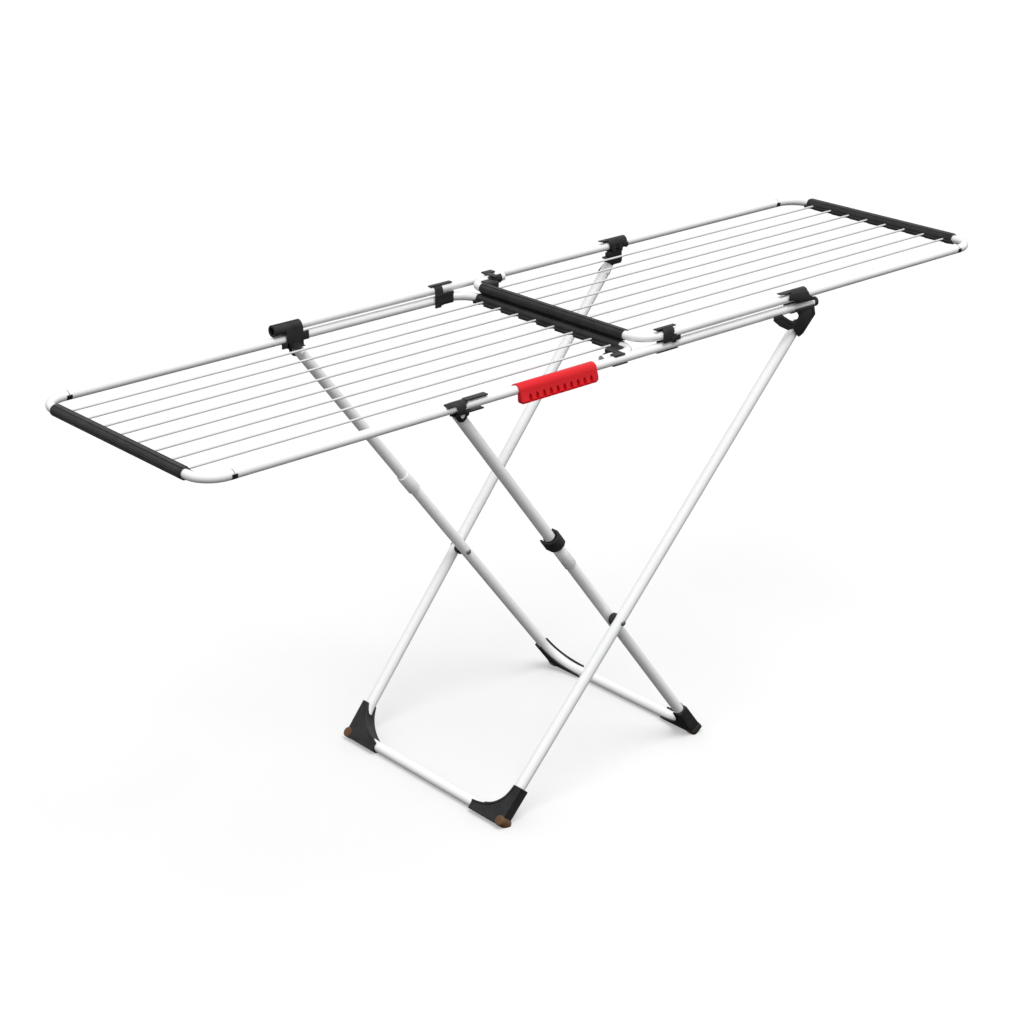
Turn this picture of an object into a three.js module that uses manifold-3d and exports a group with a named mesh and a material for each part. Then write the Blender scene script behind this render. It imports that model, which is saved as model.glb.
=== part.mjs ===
// Folding clothes drying rack: two stacked wire frames that slide over each other on an X of U-shaped legs.
// Millimetres, +Z up, floor at z = 0. Frame A is the lower one and reaches out to -X. Frame B is the same
// frame turned half round about Z and raised, and reaches out to +X. The front is at -Y.
import * as THREE from "three";
import { mergeVertices } from "three/addons/utils/BufferGeometryUtils.js";
import Module from "manifold-3d";

const wasm = await Module();
wasm.setup();

// Common sizes
const GAP = 0.3; // between pieces that touch
const SIDES = 14; // facets of a tube
const BEND_STEPS = 5; // straight steps in a quarter bend
const STUB = 6; // straight length left beyond a bend where the next tube meets it

// Drying frames
const RAIL_R = 8; // frame tube outer radius
const RAIL_WALL = 0.8;
const RAIL_Y = 239; // rail axis from the middle plane
const RAIL_Z = 821; // axis height of frame A
const STACK = 20; // frame B above frame A
const END_X = 900; // end bar axis
const CENTRE_X = 2; // centre bar axis
const RAIL_END_X = 436; // free end of the long rail
const CORNER_R = 45;
const HOOK_R = 30; // bend of the centre bar's short end
const HOOK_Y = 222; // axis of the short end
const HOOK_END_X = 80;
const SPLIT_X = 849; // rail and end bow meet here
const WIRE_R = 1.9;
const WIRE_SPAN = 171.8; // outermost wire from the middle plane
const WIRES = 8;
const WIRE_DROP = 1; // wires below the rail axis
const END_COVER_R = 10.5;
const END_COVER_HALF = 190;
const CENTRE_COVER_R = 9.7;
const CENTRE_COVER_CORNER = 194;
const CENTRE_COVER_HOOK = 180;
const SLACK = 4.6; // how far the frames part while folding, with running clearance
const SLIDE_R = 9.1; // bore that a frame tube and its ring slide through

// Legs
const LEG_R = 10;
const LEG_WALL = 0.8;
const LEG_BEND_R = 65;
const OUTER = {
  foot: new THREE.Vector3(-312.5, 215.7, 11.3),
  top: new THREE.Vector3(390.2, 253.7, 806.3),
  endZ: 797,
  pivotZ: 785,
};
const INNER = {
  foot: new THREE.Vector3(187.7, 194, 11.3),
  top: new THREE.Vector3(-400.9, 217.8, 806.3),
  endZ: 807,
  pivotZ: 800,
};
const PIN_R = 3;
const PIN_HOLE_R = 3.5;
const CROSS_Z = 319; // height of the crossing pivot
const FOOT_T = 12.2; // half thickness of a foot shell
const FOOT_OUT = 13; // foot shell outside the tube axis
const FOOT_ARM_LEG = 64;
const FOOT_ARM_BAR = 74;
const SOLE_Z = 0.5;
const PAD_R = 7.5; // rubber plug through the corner of the shell
const PAD_PROUD = 0.8;
const NUB_R = 10.5; // rounded corner of the shell round the plug

const WHITE = 0xf1f1ee;
const SILVER = 0xc9cccf;
const CHARCOAL = 0x333436;
const RED = 0xd0222e;
const BROWN = 0x6b4a3a;
const CLEAR = 0xc4c8c9;

const rack = new THREE.Group();
rack.name = "drying_rack";

// ---- helpers -------------------------------------------------------------------------------------

// A path that an extrusion follows exactly, vertex by vertex.
class Path3 extends THREE.Curve {
  constructor(points) {
    super();
    this.points = points;
  }

  getPointAt(t, target = new THREE.Vector3()) {
    return target.copy(this.points[Math.round(t * (this.points.length - 1))]);
  }

  getTangentAt(t, target = new THREE.Vector3()) {
    const last = this.points.length - 1;
    const i = Math.round(t * last);
    const before = this.points[Math.max(i - 1, 0)];
    const here = this.points[i];
    const after = this.points[Math.min(i + 1, last)];
    const into = here.clone().sub(before).normalize();
    const out = after.clone().sub(here).normalize();
    return target.copy(into.add(out)).normalize();
  }
}

function solidOf(geometry) {
  const bare = geometry.index ? geometry.toNonIndexed() : geometry.clone();
  bare.deleteAttribute("normal");
  bare.deleteAttribute("uv");
  const merged = mergeVertices(bare, 1e-4);
  return new wasm.Manifold(
    new wasm.Mesh({
      numProp: 3,
      vertProperties: merged.attributes.position.array,
      triVerts: new Uint32Array(merged.index.array),
    }),
  );
}

function geometryOf(solid) {
  const mesh = solid.getMesh();
  const position = new THREE.BufferAttribute(new Float32Array(mesh.vertProperties), 3);
  const geometry = new THREE.BufferGeometry();
  geometry.setAttribute("position", position);
  geometry.setIndex(new THREE.BufferAttribute(mesh.triVerts, 1));
  return geometry;
}

function joined(...solids) {
  return solids.reduce((whole, part) => whole.add(part));
}

function cut(solid, ...tools) {
  return tools.reduce((left, tool) => left.subtract(tool), solid);
}

function circle(radius, sides = SIDES) {
  const points = [];
  for (let i = 0; i < sides; i++) {
    const angle = ((i + 0.5) * 2 * Math.PI) / sides;
    points.push(new THREE.Vector2(radius * Math.cos(angle), radius * Math.sin(angle)));
  }
  return points;
}

// Radius of a polygonal bore that clears a tube of the given radius all round.
function boreFor(radius, sides = SIDES) {
  return (radius + GAP) / Math.cos(Math.PI / sides);
}

function sweep(points, radius, innerRadius = 0, sides = SIDES) {
  const shape = new THREE.Shape(circle(radius, sides));
  if (innerRadius > 0) shape.holes.push(new THREE.Path(circle(innerRadius, sides)));
  return new THREE.ExtrudeGeometry(shape, {
    steps: points.length - 1,
    extrudePath: new Path3(points),
    bevelEnabled: false,
  });
}

function bar(from, to, radius, innerRadius = 0, sides = SIDES) {
  return solidOf(sweep([from, to], radius, innerRadius, sides));
}

// The corner points with each inner corner turned into an arc.
function rounded(corners, radii) {
  const path = [corners[0]];
  for (let i = 1; i < corners.length - 1; i++) {
    const into = corners[i].clone().sub(corners[i - 1]).normalize();
    const out = corners[i + 1].clone().sub(corners[i]).normalize();
    const turn = into.angleTo(out);
    const radius = radii[i - 1];
    const side = out.clone().addScaledVector(into, -Math.cos(turn)).normalize();
    const start = corners[i].clone().addScaledVector(into, -radius * Math.tan(turn / 2));
    for (let k = 0; k <= BEND_STEPS; k++) {
      const angle = (turn * k) / BEND_STEPS;
      path.push(
        start
          .clone()
          .addScaledVector(into, radius * Math.sin(angle))
          .addScaledVector(side, radius * (1 - Math.cos(angle))),
      );
    }
  }
  path.push(corners[corners.length - 1]);
  return path;
}

// The same path with only a short straight stub left before its first bend and after its last.
function shortened(path) {
  const first = path[1].clone().add(path[0].clone().sub(path[1]).setLength(STUB));
  const [end, beyond] = path.slice(-2);
  const last = end.clone().add(beyond.clone().sub(end).setLength(STUB));
  return [first, ...path.slice(1, -1), last];
}

function box(x0, x1, y0, y1, z0, z1) {
  const geometry = new THREE.BoxGeometry(x1 - x0, y1 - y0, z1 - z0);
  return solidOf(geometry.translate((x0 + x1) / 2, (y0 + y1) / 2, (z0 + z1) / 2));
}

// A flat shape of [x, z] points, from y0 to y1.
function plateXZ(outline, y0, y1) {
  const shape = new THREE.Shape(outline.map(([x, z]) => new THREE.Vector2(x, z)));
  const geometry = new THREE.ExtrudeGeometry(shape, { depth: y1 - y0, bevelEnabled: false });
  return solidOf(geometry.rotateX(Math.PI / 2).translate(0, y1, 0));
}

// A bore along X for a tube at (y, z) that may also move by the given height.
function slot(x0, x1, y, z, radius, lift = 0) {
  const low = bar(new THREE.Vector3(x0, y, z), new THREE.Vector3(x1, y, z), radius);
  if (lift === 0) return low;
  const high = bar(new THREE.Vector3(x0, y, z + lift), new THREE.Vector3(x1, y, z + lift), radius);
  const flat = radius * Math.cos(Math.PI / SIDES);
  return joined(low, high, box(x0, x1, y - flat, y + flat, Math.min(z, z + lift), Math.max(z, z + lift)));
}

function add(name, shape, colour, roughness, metalness) {
  const geometry = shape.isBufferGeometry ? shape : geometryOf(shape);
  const material = new THREE.MeshStandardMaterial({ color: colour, roughness, metalness });
  const mesh = new THREE.Mesh(geometry, material);
  mesh.name = name;
  rack.add(mesh);
}

function addPlastic(name, shape, colour = CHARCOAL) {
  add(name, shape, colour, 0.55, 0);
}

function addTube(name, shape, colour = WHITE) {
  add(name, shape, colour, 0.3, 0.2);
}

// ---- legs ----------------------------------------------------------------------------------------

// The point of a leg's axis at height z, on the front (side -1) or the back (side 1).
function onLeg(leg, side, z) {
  const t = (z - leg.foot.z) / (leg.top.z - leg.foot.z);
  const point = leg.foot.clone().lerp(leg.top, t);
  point.y *= side;
  return point;
}

function footCorner(leg, side) {
  return new THREE.Vector3(leg.foot.x, side * leg.foot.y, leg.foot.z);
}

// A pivot pin along Y with its two heads.
function pivot(x, z, yFrom, yTo, headR, headT) {
  const low = Math.min(yFrom, yTo);
  const high = Math.max(yFrom, yTo);
  const at = (y) => new THREE.Vector3(x, y, z);
  return joined(
    bar(at(low), at(high), PIN_R, 0, 12),
    bar(at(low), at(low + headT), headR, 0, 12),
    bar(at(high - headT), at(high), headR, 0, 12),
  );
}

function pinHole(x, z, y) {
  return bar(new THREE.Vector3(x, y - 20, z), new THREE.Vector3(x, y + 20, z), PIN_HOLE_R, 0, 12);
}

// The U of tubes: two legs and the floor bar with its bends. Returns the floor bar's path.
function addLegTubes(prefix, leg) {
  const path = rounded(
    [onLeg(leg, -1, leg.endZ), footCorner(leg, -1), footCorner(leg, 1), onLeg(leg, 1, leg.endZ)],
    [LEG_BEND_R, LEG_BEND_R],
  );
  const floorPath = shortened(path);
  [-1, 1].forEach((side) => {
    const end = side < 0 ? floorPath[0] : floorPath[floorPath.length - 1];
    const top = onLeg(leg, side, leg.endZ);
    const along = top.clone().sub(end).normalize();
    const tube = bar(end.clone().addScaledVector(along, GAP), top, LEG_R, LEG_R - LEG_WALL);
    const cross = onLeg(leg, side, CROSS_Z);
    const hinge = onLeg(leg, side, leg.pivotZ);
    const drilled = cut(tube, pinHole(cross.x, CROSS_Z, cross.y), pinHole(hinge.x, leg.pivotZ, hinge.y));
    addTube(`${prefix}_leg_${side < 0 ? "front" : "back"}`, drilled, SILVER);
  });
  addTube(`${prefix}_floor_bar`, sweep(floorPath, LEG_R, LEG_R - LEG_WALL), SILVER);
  return path;
}

// A corner shell that wraps the outside of the bend, and the rubber pad below it.
function addFoot(prefix, leg, side, path) {
  const along = leg.top.clone().sub(leg.foot);
  const splay = along.y / Math.hypot(along.x, along.z);
  along.y = 0;
  along.normalize();
  const yAxis = new THREE.Vector3(0, 1, 0);
  const normal = new THREE.Vector3().crossVectors(along, yAxis);
  const y = (u, inward) => side * (leg.foot.y + splay * u - inward);
  const corner = leg.foot.y;
  const outline = [
    [-FOOT_OUT, side * (corner - FOOT_ARM_BAR)],
    [-FOOT_OUT, side * (corner + FOOT_OUT - 7)],
    [-FOOT_OUT + 2.2, side * (corner + FOOT_OUT - 2.4)],
    [-FOOT_OUT + 7, side * (corner + FOOT_OUT)],
    [FOOT_ARM_LEG, y(FOOT_ARM_LEG, -FOOT_OUT)],
    [FOOT_ARM_LEG, y(FOOT_ARM_LEG, 4)],
    [52, y(52, 5)],
    [36, y(36, 8)],
    [23, y(23, 17)],
    [12, y(12, 33)],
    [5, y(5, 52)],
    [4, side * (corner - FOOT_ARM_BAR)],
  ];
  const ordered = side < 0 ? outline : outline.slice().reverse();
  const shape = new THREE.Shape(ordered.map(([u, v]) => new THREE.Vector2(u, v)));
  const slab = new THREE.ExtrudeGeometry(shape, { depth: 2 * FOOT_T, bevelEnabled: false });
  slab.translate(0, 0, -FOOT_T);
  slab.applyMatrix4(new THREE.Matrix4().makeBasis(along, yAxis, normal));
  slab.translate(leg.foot.x, 0, leg.foot.z);
  const channel = solidOf(sweep(path, boreFor(LEG_R)));

  // The plug runs across the shell and is cut off flat by the floor.
  const centre = leg.foot.clone().addScaledVector(along, -3);
  centre.y = side * (corner + 3);
  const across = (n) => centre.clone().addScaledVector(normal, n);
  const below = (z) => box(centre.x - 200, centre.x + 200, centre.y - 200, centre.y + 200, -99, z);
  const nub = bar(across(-FOOT_T), across(FOOT_T), NUB_R, 0, 16);
  const socket = bar(across(-40), across(40), PAD_R + GAP, 0, 16);
  const plug = bar(across(-FOOT_T - PAD_PROUD), across(FOOT_T + PAD_PROUD), PAD_R, 0, 16);
  const end = side < 0 ? "front" : "back";
  addPlastic(`${prefix}_foot_${end}`, cut(joined(solidOf(slab), nub), channel, socket, below(SOLE_Z)));
  addPlastic(`${prefix}_pad_${end}`, cut(plug, below(0)), BROWN);
}

[
  ["outer", OUTER],
  ["inner", INNER],
].forEach(([prefix, leg]) => {
  const path = addLegTubes(prefix, leg);
  [-1, 1].forEach((side) => addFoot(prefix, leg, side, path));
});

// The rivets where the legs cross, each with the spacer between the two tubes.
[-1, 1].forEach((side) => {
  const out = onLeg(OUTER, side, CROSS_Z);
  const inn = onLeg(INNER, side, CROSS_Z);
  const rivet = pivot(
    out.x,
    CROSS_Z,
    out.y + side * (LEG_R + 2.9),
    inn.y - side * (LEG_R + 2.9),
    5.5,
    2.2,
  );
  const spacer = bar(
    new THREE.Vector3(out.x, out.y - side * (LEG_R + 0.8), CROSS_Z),
    new THREE.Vector3(out.x, inn.y + side * (LEG_R + 0.8), CROSS_Z),
    9,
    0,
    12,
  );
  addPlastic(`cross_rivet_${side < 0 ? "front" : "back"}`, joined(rivet, spacer));
});

// A ring round a leg tube from height z0 to z1, split on the side away from the other leg when open.
function legRing(side, z0, z1, radius, open) {
  const low = onLeg(INNER, side, z0);
  const high = onLeg(INNER, side, z1);
  const past = high.clone().sub(low);
  const tool = bar(low.clone().sub(past), high.clone().add(past), boreFor(LEG_R));
  const ring = cut(bar(low, high, radius), tool);
  if (!open) return ring;
  const y = low.y;
  const mouth = side < 0 ? [y, y + 30] : [y - 30, y];
  return cut(ring, box(low.x - 6, low.x + 6, mouth[0], mouth[1], z0 - 30, z1 + 30));
}

addPlastic("inner_leg_clip", legRing(-1, 502, 520, 13, true));
addPlastic("inner_leg_sleeve", legRing(-1, 452, 500, 11.6, false), CLEAR);
addPlastic("inner_leg_guide", legRing(1, 478, 512, 12.6, true), CLEAR);

// ---- drying frames -------------------------------------------------------------------------------

// Frame A is drawn as it stands. Frame B is the same shape turned half round about Z and raised.
// turn is 1 for A and -1 for B.
function addFrame(prefix, turn) {
  const z = turn > 0 ? RAIL_Z : RAIL_Z + STACK;
  const at = (x, y, dz = 0) => new THREE.Vector3(turn * x, turn * y, z + dz);
  const inner = RAIL_R - RAIL_WALL;

  addTube(`${prefix}_long_rail`, bar(at(RAIL_END_X, -RAIL_Y), at(-SPLIT_X + GAP, -RAIL_Y), RAIL_R, inner));

  const bow = rounded(
    [at(-SPLIT_X, -RAIL_Y), at(-END_X, -RAIL_Y), at(-END_X, RAIL_Y), at(-SPLIT_X, RAIL_Y)],
    [CORNER_R, CORNER_R],
  );
  addTube(`${prefix}_end_bow`, sweep(bow, RAIL_R, inner));

  const stubX = -CENTRE_X - CORNER_R - STUB;
  addTube(`${prefix}_short_rail`, bar(at(-SPLIT_X + GAP, RAIL_Y), at(stubX - GAP, RAIL_Y), RAIL_R, inner));

  const centre = rounded(
    [at(stubX, RAIL_Y), at(-CENTRE_X, RAIL_Y), at(-CENTRE_X, -HOOK_Y), at(-HOOK_END_X, -HOOK_Y)],
    [CORNER_R, HOOK_R],
  );
  addTube(`${prefix}_centre_bow`, sweep(centre, RAIL_R, inner));

  // Sleeves that carry the wires on the end bar and on the centre bar
  const endCover = bar(at(-END_X, -END_COVER_HALF), at(-END_X, END_COVER_HALF), END_COVER_R, boreFor(RAIL_R));
  addPlastic(`${prefix}_end_cover`, endCover);
  const centreCover = bar(
    at(-CENTRE_X, -CENTRE_COVER_HOOK),
    at(-CENTRE_X, CENTRE_COVER_CORNER),
    CENTRE_COVER_R,
    boreFor(RAIL_R),
  );
  addPlastic(`${prefix}_centre_cover`, centreCover);

  for (let i = 0; i < WIRES; i++) {
    const y = -WIRE_SPAN + (2 * WIRE_SPAN * i) / (WIRES - 1);
    const from = at(-END_X + END_COVER_R + GAP, y, -WIRE_DROP);
    const to = at(-CENTRE_X - CENTRE_COVER_R - GAP, y, -WIRE_DROP);
    add(`${prefix}_wire_${i + 1}`, bar(from, to, WIRE_R, 0, 8), WHITE, 0.35, 0.3);
  }
}

addFrame("frame_a", 1);
addFrame("frame_b", -1);

const B_Z = RAIL_Z + STACK;
const FIXED_R = boreFor(RAIL_R);

// The bracket that holds the centre bar's short end to the long rail of the same frame.
addPlastic(
  "frame_a_bracket",
  cut(
    box(-84, -34, -250, -211, 809, 829),
    slot(-95, -20, -RAIL_Y, RAIL_Z, FIXED_R),
    slot(-95, -20, -HOOK_Y, RAIL_Z, FIXED_R),
    box(-95, -20, -RAIL_Y, -HOOK_Y, RAIL_Z, RAIL_Z + 10),
  ),
);
addPlastic(
  "frame_b_bracket",
  cut(
    box(34, 84, 211, 250, 835, 852.5),
    slot(20, 95, RAIL_Y, B_Z, FIXED_R),
    slot(20, 95, HOOK_Y, B_Z, FIXED_R),
    box(20, 95, HOOK_Y, RAIL_Y, B_Z - 10, B_Z),
  ),
);

// The clip that is fixed on one frame's long rail and lets the other frame's short rail slide through.
addPlastic(
  "frame_b_clip",
  cut(
    joined(box(-81, -62, 227.6, 251, 805, 853), box(-81, -50, 227.6, 251, 805, 838)),
    slot(-90, -20, RAIL_Y, B_Z, FIXED_R),
    slot(-90, -20, RAIL_Y, RAIL_Z, SLIDE_R, -SLACK),
  ),
);
addPlastic(
  "frame_a_clip",
  cut(
    joined(box(34, 78, -251, -227.6, 809, 821), box(46, 70, -251, -227.6, 809, 856.8)),
    slot(20, 90, -RAIL_Y, RAIL_Z, FIXED_R),
    slot(20, 90, -RAIL_Y, B_Z, SLIDE_R, SLACK),
  ),
);

// Front right clamp: fixed on frame A's long rail and hinged on the outer leg. Frame B slides under its cap.
const FRONT_CHEEK = [
  [302, 826],
  [322, 827],
  [328, 822],
  [345, 811],
  [353, 807.5],
  [369, 808],
  [371, 815],
  [363, 819],
  [357, 828],
  [408, 828],
  [412, 808],
  [394, 791],
  [381, 778],
  [370, 774],
  [364, 779],
  [354, 793],
  [340, 793],
  [318, 805],
  [302, 818],
];
const OUTER_HINGE = onLeg(OUTER, -1, OUTER.pivotZ);
const INNER_HINGE = onLeg(INNER, -1, INNER.pivotZ);
const CAP = [
  [359, 850],
  [359, 840],
  [372, 838],
  [378, 831],
  [429, 828.5],
  [426, 834],
  [413, 841],
  [409, 857],
  [366, 857],
];
const BACK_CHEEK = [
  [366, 812],
  [430, 812],
  [430, 792],
  [412, 790],
  [396, 778],
  [371, 774],
  [362, 780],
];

// A pivot pin along Y with a head at its inner end
function headedPin(hinge, from, to, side) {
  const at = (y) => new THREE.Vector3(hinge.x, side * y, hinge.z);
  return joined(bar(at(from), at(to), PIN_R, 0, 12), bar(at(to + 2.2), at(to), 5.5, 0, 12));
}
addPlastic(
  "clamp_front_right",
  cut(
    joined(
      plateXZ(FRONT_CHEEK, -267.8, -264),
      plateXZ(CAP, -252.4, -248.6),
      box(374, 411, -267.8, -227, 806, 812.4),
      box(374, 411, -251.6, -227, 806, 824),
      box(366, 411, -230.2, -227, 806, 857),
      box(366, 409, -252.4, -227, 854.4, 857),
      box(346, 368, -247, -231, 854.6, 856.6),
      headedPin(OUTER_HINGE, 267, 239.4, -1),
    ),
    slot(290, 470, -RAIL_Y, RAIL_Z, FIXED_R),
    slot(290, 470, -RAIL_Y, B_Z, SLIDE_R, SLACK),
  ),
);

// Back right slider: hinged on the outer leg, runs on frame B's long rail.
addPlastic(
  "slider_back_right",
  cut(
    joined(
      plateXZ(BACK_CHEEK, 264, 267.8),
      box(366, 408, 238, 267.8, 806, 812.4),
      box(366, 408, 238, 241.4, 806, 834),
      box(360, 408, 227.4, 251.6, 829, 857),
      headedPin(OUTER_HINGE, 267, 239.4, 1),
    ),
    slot(290, 470, RAIL_Y, B_Z, SLIDE_R, SLACK),
  ),
);

// Lug that carries the inner leg's pivot pin
function innerLug(side) {
  const x = INNER_HINGE.x;
  const lug = [
    [x - 16, 812],
    [x + 18, 812],
    [x + 12, 796],
    [x + 5, 789],
    [x - 5, 789],
    [x - 12, 796],
  ];
  const plate = side < 0 ? plateXZ(lug, -232.2, -228.3) : plateXZ(lug, 228.3, 232.2);
  return joined(plate, headedPin(INNER_HINGE, 230, 204.4, side));
}

// Front left slider: hinged on the inner leg, runs on frame A's long rail.
addPlastic(
  "slider_front_left",
  cut(
    joined(
      box(-440, -398, -251.4, -228.3, 829, 832.6),
      box(-421, -398, -251.4, -228.3, 804, 832.6),
      box(-398, -354, -246, -233, 829.6, 834),
      innerLug(-1),
    ),
    slot(-460, -330, -RAIL_Y, RAIL_Z, SLIDE_R, -SLACK),
  ),
);

// Back left clamp: fixed on the free end of frame B's long rail and hinged on the inner leg.
// Frame A's short rail slides through its lower half.
addPlastic(
  "clamp_back_left",
  cut(
    joined(
      bar(new THREE.Vector3(-439, RAIL_Y, B_Z), new THREE.Vector3(-380, RAIL_Y, B_Z), 11),
      box(-411, -378, 228.3, 251.4, 804, 842),
      innerLug(1),
    ),
    slot(-460, -330, RAIL_Y, B_Z, FIXED_R),
    slot(-460, -330, RAIL_Y, RAIL_Z, SLIDE_R, -SLACK),
  ),
);

// Plug in the free end of frame A's long rail
addPlastic(
  "rail_end_cap",
  joined(
    bar(
      new THREE.Vector3(RAIL_END_X + GAP, -RAIL_Y, RAIL_Z),
      new THREE.Vector3(RAIL_END_X + 6, -RAIL_Y, RAIL_Z),
      RAIL_R,
    ),
    bar(
      new THREE.Vector3(RAIL_END_X - 10, -RAIL_Y, RAIL_Z),
      new THREE.Vector3(RAIL_END_X + 2, -RAIL_Y, RAIL_Z),
      RAIL_R - RAIL_WALL - 0.5,
    ),
  ),
);

// Carrying handle round frame A's front rail
const HANDLE = [
  [-289, 829],
  [-286, 831.4],
  [-128, 831.4],
  [-122, 827],
  [-117, 806],
  [-120, 800],
  [-127, 798],
  [-272, 798],
  [-281, 801],
  [-289, 815],
];
addPlastic(
  "handle",
  cut(plateXZ(HANDLE, -251, -227), slot(-300, -100, -RAIL_Y, RAIL_Z, FIXED_R)),
  RED,
);

export default rack;
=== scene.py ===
"""Folding clothes drying rack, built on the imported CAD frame. Metres, +Z up."""

import math

import bmesh
import bpy
import numpy as np
from mathutils import Matrix, Vector


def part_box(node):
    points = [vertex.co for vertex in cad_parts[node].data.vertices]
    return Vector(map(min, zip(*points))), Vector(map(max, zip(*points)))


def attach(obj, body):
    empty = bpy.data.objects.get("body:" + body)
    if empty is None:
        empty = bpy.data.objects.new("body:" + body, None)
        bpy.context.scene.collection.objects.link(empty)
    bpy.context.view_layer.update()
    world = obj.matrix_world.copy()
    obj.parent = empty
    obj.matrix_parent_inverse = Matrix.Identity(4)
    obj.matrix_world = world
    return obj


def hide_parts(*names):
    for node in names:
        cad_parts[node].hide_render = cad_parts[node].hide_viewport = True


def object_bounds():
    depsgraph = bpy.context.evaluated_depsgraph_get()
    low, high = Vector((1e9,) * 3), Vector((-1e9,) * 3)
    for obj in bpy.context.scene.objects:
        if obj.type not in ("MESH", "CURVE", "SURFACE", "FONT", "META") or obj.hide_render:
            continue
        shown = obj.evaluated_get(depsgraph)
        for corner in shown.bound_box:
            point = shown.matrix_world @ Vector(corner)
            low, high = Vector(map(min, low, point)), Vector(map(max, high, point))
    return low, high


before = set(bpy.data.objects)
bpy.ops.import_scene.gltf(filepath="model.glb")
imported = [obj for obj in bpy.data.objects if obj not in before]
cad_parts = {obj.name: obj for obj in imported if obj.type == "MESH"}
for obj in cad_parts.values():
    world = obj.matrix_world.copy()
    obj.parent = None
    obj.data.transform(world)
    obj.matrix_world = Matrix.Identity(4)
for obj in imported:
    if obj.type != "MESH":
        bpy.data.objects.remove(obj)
CAD_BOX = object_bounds()
MM = 0.001
X = Vector((1, 0, 0))
Y = Vector((0, 1, 0))
Z = Vector((0, 0, 1))


# ---- materials -----------------------------------------------------------------------------------


def principled(name):
    material = bpy.data.materials.new(name)
    material.use_nodes = True
    shader = material.node_tree.nodes["Principled BSDF"]
    return material, material.node_tree, shader


def noise(tree, scale, detail=3.0, stretch=(1, 1, 1)):
    """Noise in the object's own space, in features per metre, with the space stretched per axis."""
    where = tree.nodes.new("ShaderNodeTexCoord")
    mapping = tree.nodes.new("ShaderNodeMapping")
    mapping.inputs["Scale"].default_value = stretch
    tree.links.new(where.outputs["Object"], mapping.inputs["Vector"])
    texture = tree.nodes.new("ShaderNodeTexNoise")
    texture.inputs["Scale"].default_value = scale
    texture.inputs["Detail"].default_value = detail
    texture.inputs["Roughness"].default_value = 0.55
    tree.links.new(mapping.outputs["Vector"], texture.inputs["Vector"])
    return texture.outputs["Fac"]


def ramp(tree, fac, stops):
    node = tree.nodes.new("ShaderNodeValToRGB")
    elements = node.color_ramp.elements
    while len(elements) < len(stops):
        elements.new(0.5)
    for element, (position, colour) in zip(elements, stops):
        element.position = position
        element.color = (*colour, 1)
    tree.links.new(fac, node.inputs["Fac"])
    return node.outputs["Color"]


def remap(tree, fac, low, high, to_low, to_high):
    node = tree.nodes.new("ShaderNodeMapRange")
    node.inputs["From Min"].default_value = low
    node.inputs["From Max"].default_value = high
    node.inputs["To Min"].default_value = to_low
    node.inputs["To Max"].default_value = to_high
    tree.links.new(fac, node.inputs["Value"])
    return node.outputs["Result"]


def drifting_colour(tree, shader, fac, low, high):
    """A base colour that follows fac from low to high."""
    tree.links.new(ramp(tree, fac, [(0.3, low), (0.7, high)]), shader.inputs["Base Color"])


def drifting_roughness(tree, shader, fac, low, high):
    """A roughness that follows fac from low to high."""
    tree.links.new(remap(tree, fac, 0.3, 0.7, low, high), shader.inputs["Roughness"])


def bumps(tree, shader, layers):
    """Stacked bump layers: (height socket, strength, distance in metres)."""
    before = None
    for height, strength, distance in layers:
        node = tree.nodes.new("ShaderNodeBump")
        node.inputs["Strength"].default_value = strength
        node.inputs["Distance"].default_value = distance
        tree.links.new(height, node.inputs["Height"])
        if before is not None:
            tree.links.new(before, node.inputs["Normal"])
        before = node.outputs["Normal"]
    tree.links.new(before, shader.inputs["Normal"])


def mixed(tree, fac, a, b):
    node = tree.nodes.new("ShaderNodeMix")
    node.data_type = "RGBA"
    tree.links.new(fac, node.inputs["Factor"])
    for value, socket in ((a, node.inputs["A"]), (b, node.inputs["B"])):
        if isinstance(value, tuple):
            socket.default_value = (*value, 1)
        else:
            tree.links.new(value, socket)
    return node.outputs["Result"]


def worn_edges(tree):
    """1 along raised edges, 0 elsewhere."""
    geometry = tree.nodes.new("ShaderNodeNewGeometry")
    return remap(tree, geometry.outputs["Pointiness"], 0.53, 0.6, 0, 1)


def painted_tube(name, light, dark, rough, metallic, coat):
    """Coated steel tube: faint orange peel, slow colour drift, small scuffs."""
    material, tree, shader = principled(name)
    drift = noise(tree, 9, 2)
    colour = ramp(tree, drift, [(0.3, dark), (0.7, light)])
    specks = noise(tree, 900, 2)
    scuffs = remap(tree, specks, 0.7, 0.8, 0, 0.3)
    scuffed = mixed(tree, scuffs, colour, tuple(0.93 * c for c in dark))
    tree.links.new(scuffed, shader.inputs["Base Color"])
    drifting_roughness(tree, shader, noise(tree, 60, 3), rough * 0.93, rough * 1.1)
    shader.inputs["Metallic"].default_value = metallic
    shader.inputs["Coat Weight"].default_value = coat
    shader.inputs["Coat Roughness"].default_value = 0.12
    bumps(tree, shader, [(noise(tree, 900, 2), 0.05, 0.00004)])
    return material


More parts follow.
